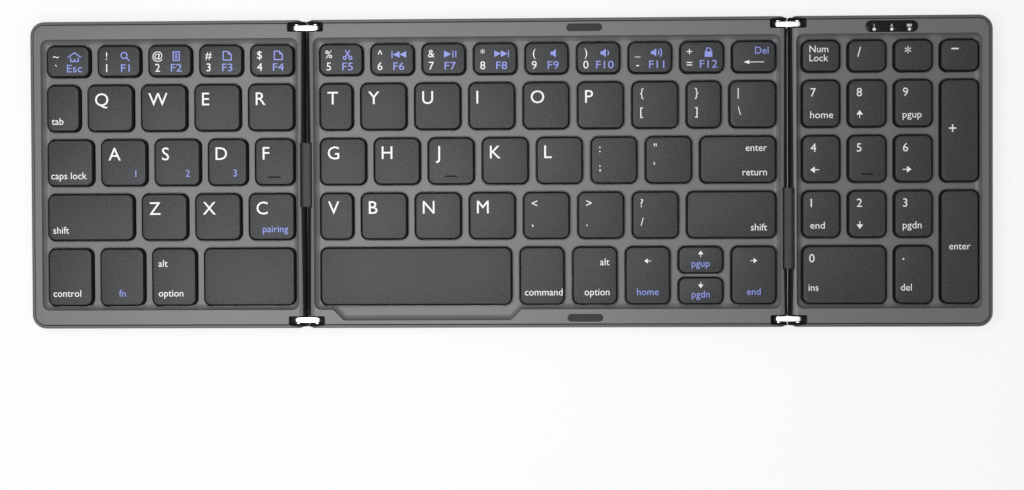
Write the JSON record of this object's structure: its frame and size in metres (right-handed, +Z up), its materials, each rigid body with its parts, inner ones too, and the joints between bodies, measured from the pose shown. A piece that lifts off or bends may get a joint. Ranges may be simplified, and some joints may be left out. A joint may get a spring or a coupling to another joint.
{
  "type": "folding keyboard",
  "caption": "Slim three-panel keyboard with a number pad; both wings fold up and over the middle panel on paired chrome links.",
  "frame": {"origin": "centre of the box of the opened keyboard, on the surface it stands on", "axes": "+X to the right along the rows of keys, +Y away from the typist to the rear edge, +Z up out of the keys"},
  "size_m": [0.305, 0.0984, 0.0091],
  "materials": {
    "shell": "satin",
    "frame": "satin",
    "keycap": "matte",
    "steel_sheet": "brushed",
    "film": "matte",
    "silicone": "matte",
    "white_plastic": "matte",
    "rubber": "matte",
    "screw_steel": "satin",
    "foil": "satin",
    "board": "gloss",
    "port_steel": "satin",
    "switch_housing": "satin",
    "slider_plastic": "matte",
    "window": "gloss",
    "lens": "satin",
    "chrome_link": "polished",
    "pin_steel": "polished",
    "sleeve_rubber": "matte"
  },
  "bodies": {
    "middle": {"middle_bottom_cover": "shell", "middle_top_frame": "frame", "middle_key_plate": "steel_sheet", "middle_membrane": "film", "middle_domes": "silicone", "middle_scissors": "white_plastic", "middle_feet": "rubber", "middle_screws": "screw_steel", "rest_pads": "rubber", "battery": "foil", "middle_hinge_pins": "pin_steel"},
    "left_links": {"left_hinge_links": "chrome_link", "left_cable_sleeve": "sleeve_rubber"},
    "left_wing": {"left_bottom_cover": "shell", "left_top_frame": "frame", "left_key_plate": "steel_sheet", "left_membrane": "film", "left_domes": "silicone", "left_scissors": "white_plastic", "left_feet": "rubber", "left_screws": "screw_steel", "left_hinge_pins": "pin_steel"},
    "right_links": {"right_hinge_links": "chrome_link", "right_cable_sleeve": "sleeve_rubber"},
    "right_wing": {"right_bottom_cover": "shell", "right_top_frame": "frame", "right_key_plate": "steel_sheet", "right_membrane": "film", "right_domes": "silicone", "right_scissors": "white_plastic", "right_feet": "rubber", "right_screws": "screw_steel", "circuit_board": "board", "charging_port": "port_steel", "power_switch": "switch_housing", "indicator_window": "window", "indicator_lenses": "lens", "right_hinge_pins": "pin_steel"},
    "power_slider": {"switch_slider": "slider_plastic"},
    "left_number_keys": {"left_number_keys": "keycap"},
    "left_upper_keys": {"left_upper_keys": "keycap"},
    "left_home_keys": {"left_home_keys": "keycap"},
    "left_lower_keys": {"left_lower_keys": "keycap"},
    "left_front_keys": {"left_front_keys": "keycap"},
    "left_space_key": {"left_space_key": "keycap"},
    "middle_number_keys": {"middle_number_keys": "keycap"},
    "middle_upper_keys": {"middle_upper_keys": "keycap"},
    "middle_home_keys": {"middle_home_keys": "keycap"},
    "middle_lower_keys": {"middle_lower_keys": "keycap"},
    "middle_front_keys": {"middle_front_keys": "keycap"},
    "space_bar": {"space_bar": "keycap"},
    "return_key": {"return_key": "keycap"},
    "keypad_rear_keys": {"keypad_rear_keys": "keycap"},
    "keypad_upper_keys": {"keypad_upper_keys": "keycap"},
    "keypad_middle_keys": {"keypad_middle_keys": "keycap"},
    "keypad_lower_keys": {"keypad_lower_keys": "keycap"},
    "keypad_zero_keys": {"keypad_zero_keys": "keycap"},
    "keypad_plus_key": {"keypad_plus_key": "keycap"},
    "keypad_enter_key": {"keypad_enter_key": "keycap"}
  },
  "joints": [
    {"name": "left_link_fold", "type": "hinge", "parent": "middle", "child": "left_links", "pos_m": [-0.06115, 0, 0.00595], "axis": [0, 1, 0], "range_deg": [0, 90], "deforming": ["left_cable_sleeve"]},
    {"name": "left_wing_fold", "type": "hinge", "parent": "left_links", "child": "left_wing", "pos_m": [-0.06725, 0, 0.00595], "axis": [0, 1, 0], "range_deg": [0, 90]},
    {"name": "right_link_fold", "type": "hinge", "parent": "middle", "child": "right_links", "pos_m": [0.08555, 0, 0.00595], "axis": [0, -1, 0], "range_deg": [0, 90], "deforming": ["right_cable_sleeve"]},
    {"name": "right_wing_fold", "type": "hinge", "parent": "right_links", "child": "right_wing", "pos_m": [0.09165, 0, 0.00595], "axis": [0, -1, 0], "range_deg": [0, 90]},
    {"name": "power_slide", "type": "slide", "parent": "right_wing", "child": "power_slider", "axis": [1, 0, 0], "range_m": [0, 0.002]},
    {"name": "left_number_keys_press", "type": "slide", "parent": "left_wing", "child": "left_number_keys", "axis": [0, 0, -1], "range_m": [0, 0.0012], "stiffness_N_per_m": 1250, "springref_m": -0.0004, "deforming": ["left_domes", "left_scissors"]},
    {"name": "left_upper_keys_press", "type": "slide", "parent": "left_wing", "child": "left_upper_keys", "axis": [0, 0, -1], "range_m": [0, 0.0012], "stiffness_N_per_m": 1250, "springref_m": -0.0004, "deforming": ["left_domes", "left_scissors"]},
    {"name": "left_home_keys_press", "type": "slide", "parent": "left_wing", "child": "left_home_keys", "axis": [0, 0, -1], "range_m": [0, 0.0012], "stiffness_N_per_m": 1250, "springref_m": -0.0004, "deforming": ["left_domes", "left_scissors"]},
    {"name": "left_lower_keys_press", "type": "slide", "parent": "left_wing", "child": "left_lower_keys", "axis": [0, 0, -1], "range_m": [0, 0.0012], "stiffness_N_per_m": 1000, "springref_m": -0.0004, "deforming": ["left_domes", "left_scissors"]},
    {"name": "left_front_keys_press", "type": "slide", "parent": "left_wing", "child": "left_front_keys", "axis": [0, 0, -1], "range_m": [0, 0.0012], "stiffness_N_per_m": 750, "springref_m": -0.0004, "deforming": ["left_domes", "left_scissors"]},
    {"name": "left_space_key_press", "type": "slide", "parent": "left_wing", "child": "left_space_key", "axis": [0, 0, -1], "range_m": [0, 0.0012], "stiffness_N_per_m": 250, "springref_m": -0.0004, "deforming": ["left_domes", "left_scissors"]},
    {"name": "middle_number_keys_press", "type": "slide", "parent": "middle", "child": "middle_number_keys", "axis": [0, 0, -1], "range_m": [0, 0.0012], "stiffness_N_per_m": 2250, "springref_m": -0.0004, "deforming": ["middle_domes", "middle_scissors"]},
    {"name": "middle_upper_keys_press", "type": "slide", "parent": "middle", "child": "middle_upper_keys", "axis": [0, 0, -1], "range_m": [0, 0.0012], "stiffness_N_per_m": 2250, "springref_m": -0.0004, "deforming": ["middle_domes", "middle_scissors"]},
    {"name": "middle_home_keys_press", "type": "slide", "parent": "middle", "child": "middle_home_keys", "axis": [0, 0, -1], "range_m": [0, 0.0012], "stiffness_N_per_m": 1750, "springref_m": -0.0004, "deforming": ["middle_domes", "middle_scissors"]},
    {"name": "middle_lower_keys_press", "type": "slide", "parent": "middle", "child": "middle_lower_keys", "axis": [0, 0, -1], "range_m": [0, 0.0012], "stiffness_N_per_m": 2000, "springref_m": -0.0004, "deforming": ["middle_domes", "middle_scissors"]},
    {"name": "middle_front_keys_press", "type": "slide", "parent": "middle", "child": "middle_front_keys", "axis": [0, 0, -1], "range_m": [0, 0.0012], "stiffness_N_per_m": 1500, "springref_m": -0.0004, "deforming": ["middle_domes", "middle_scissors"]},
    {"name": "space_bar_press", "type": "slide", "parent": "middle", "child": "space_bar", "axis": [0, 0, -1], "range_m": [0, 0.0012], "stiffness_N_per_m": 250, "springref_m": -0.0004, "deforming": ["middle_domes", "middle_scissors"]},
    {"name": "return_key_press", "type": "slide", "parent": "middle", "child": "return_key", "axis": [0, 0, -1], "range_m": [0, 0.0012], "stiffness_N_per_m": 250, "springref_m": -0.0004, "deforming": ["middle_domes", "middle_scissors"]},
    {"name": "keypad_rear_keys_press", "type": "slide", "parent": "right_wing", "child": "keypad_rear_keys", "axis": [0, 0, -1], "range_m": [0, 0.0012], "stiffness_N_per_m": 1000, "springref_m": -0.0004, "deforming": ["right_domes", "right_scissors"]},
    {"name": "keypad_upper_keys_press", "type": "slide", "parent": "right_wing", "child": "keypad_upper_keys", "axis": [0, 0, -1], "range_m": [0, 0.0012], "stiffness_N_per_m": 750, "springref_m": -0.0004, "deforming": ["right_domes", "right_scissors"]},
    {"name": "keypad_middle_keys_press", "type": "slide", "parent": "right_wing", "child": "keypad_middle_keys", "axis": [0, 0, -1], "range_m": [0, 0.0012], "stiffness_N_per_m": 750, "springref_m": -0.0004, "deforming": ["right_domes", "right_scissors"]},
    {"name": "keypad_lower_keys_press", "type": "slide", "parent": "right_wing", "child": "keypad_lower_keys", "axis": [0, 0, -1], "range_m": [0, 0.0012], "stiffness_N_per_m": 750, "springref_m": -0.0004, "deforming": ["right_domes", "right_scissors"]},
    {"name": "keypad_zero_keys_press", "type": "slide", "parent": "right_wing", "child": "keypad_zero_keys", "axis": [0, 0, -1], "range_m": [0, 0.0012], "stiffness_N_per_m": 500, "springref_m": -0.0004, "deforming": ["right_domes", "right_scissors"]},
    {"name": "keypad_plus_key_press", "type": "slide", "parent": "right_wing", "child": "keypad_plus_key", "axis": [0, 0, -1], "range_m": [0, 0.0012], "stiffness_N_per_m": 250, "springref_m": -0.0004, "deforming": ["right_domes", "right_scissors"]},
    {"name": "keypad_enter_key_press", "type": "slide", "parent": "right_wing", "child": "keypad_enter_key", "axis": [0, 0, -1], "range_m": [0, 0.0012], "stiffness_N_per_m": 250, "springref_m": -0.0004, "deforming": ["right_domes", "right_scissors"]}
  ],
  "couplings": [
    {"joint": "left_wing_fold", "follows": "left_link_fold", "ratio": 1},
    {"joint": "right_wing_fold", "follows": "right_link_fold", "ratio": 1}
  ]
}
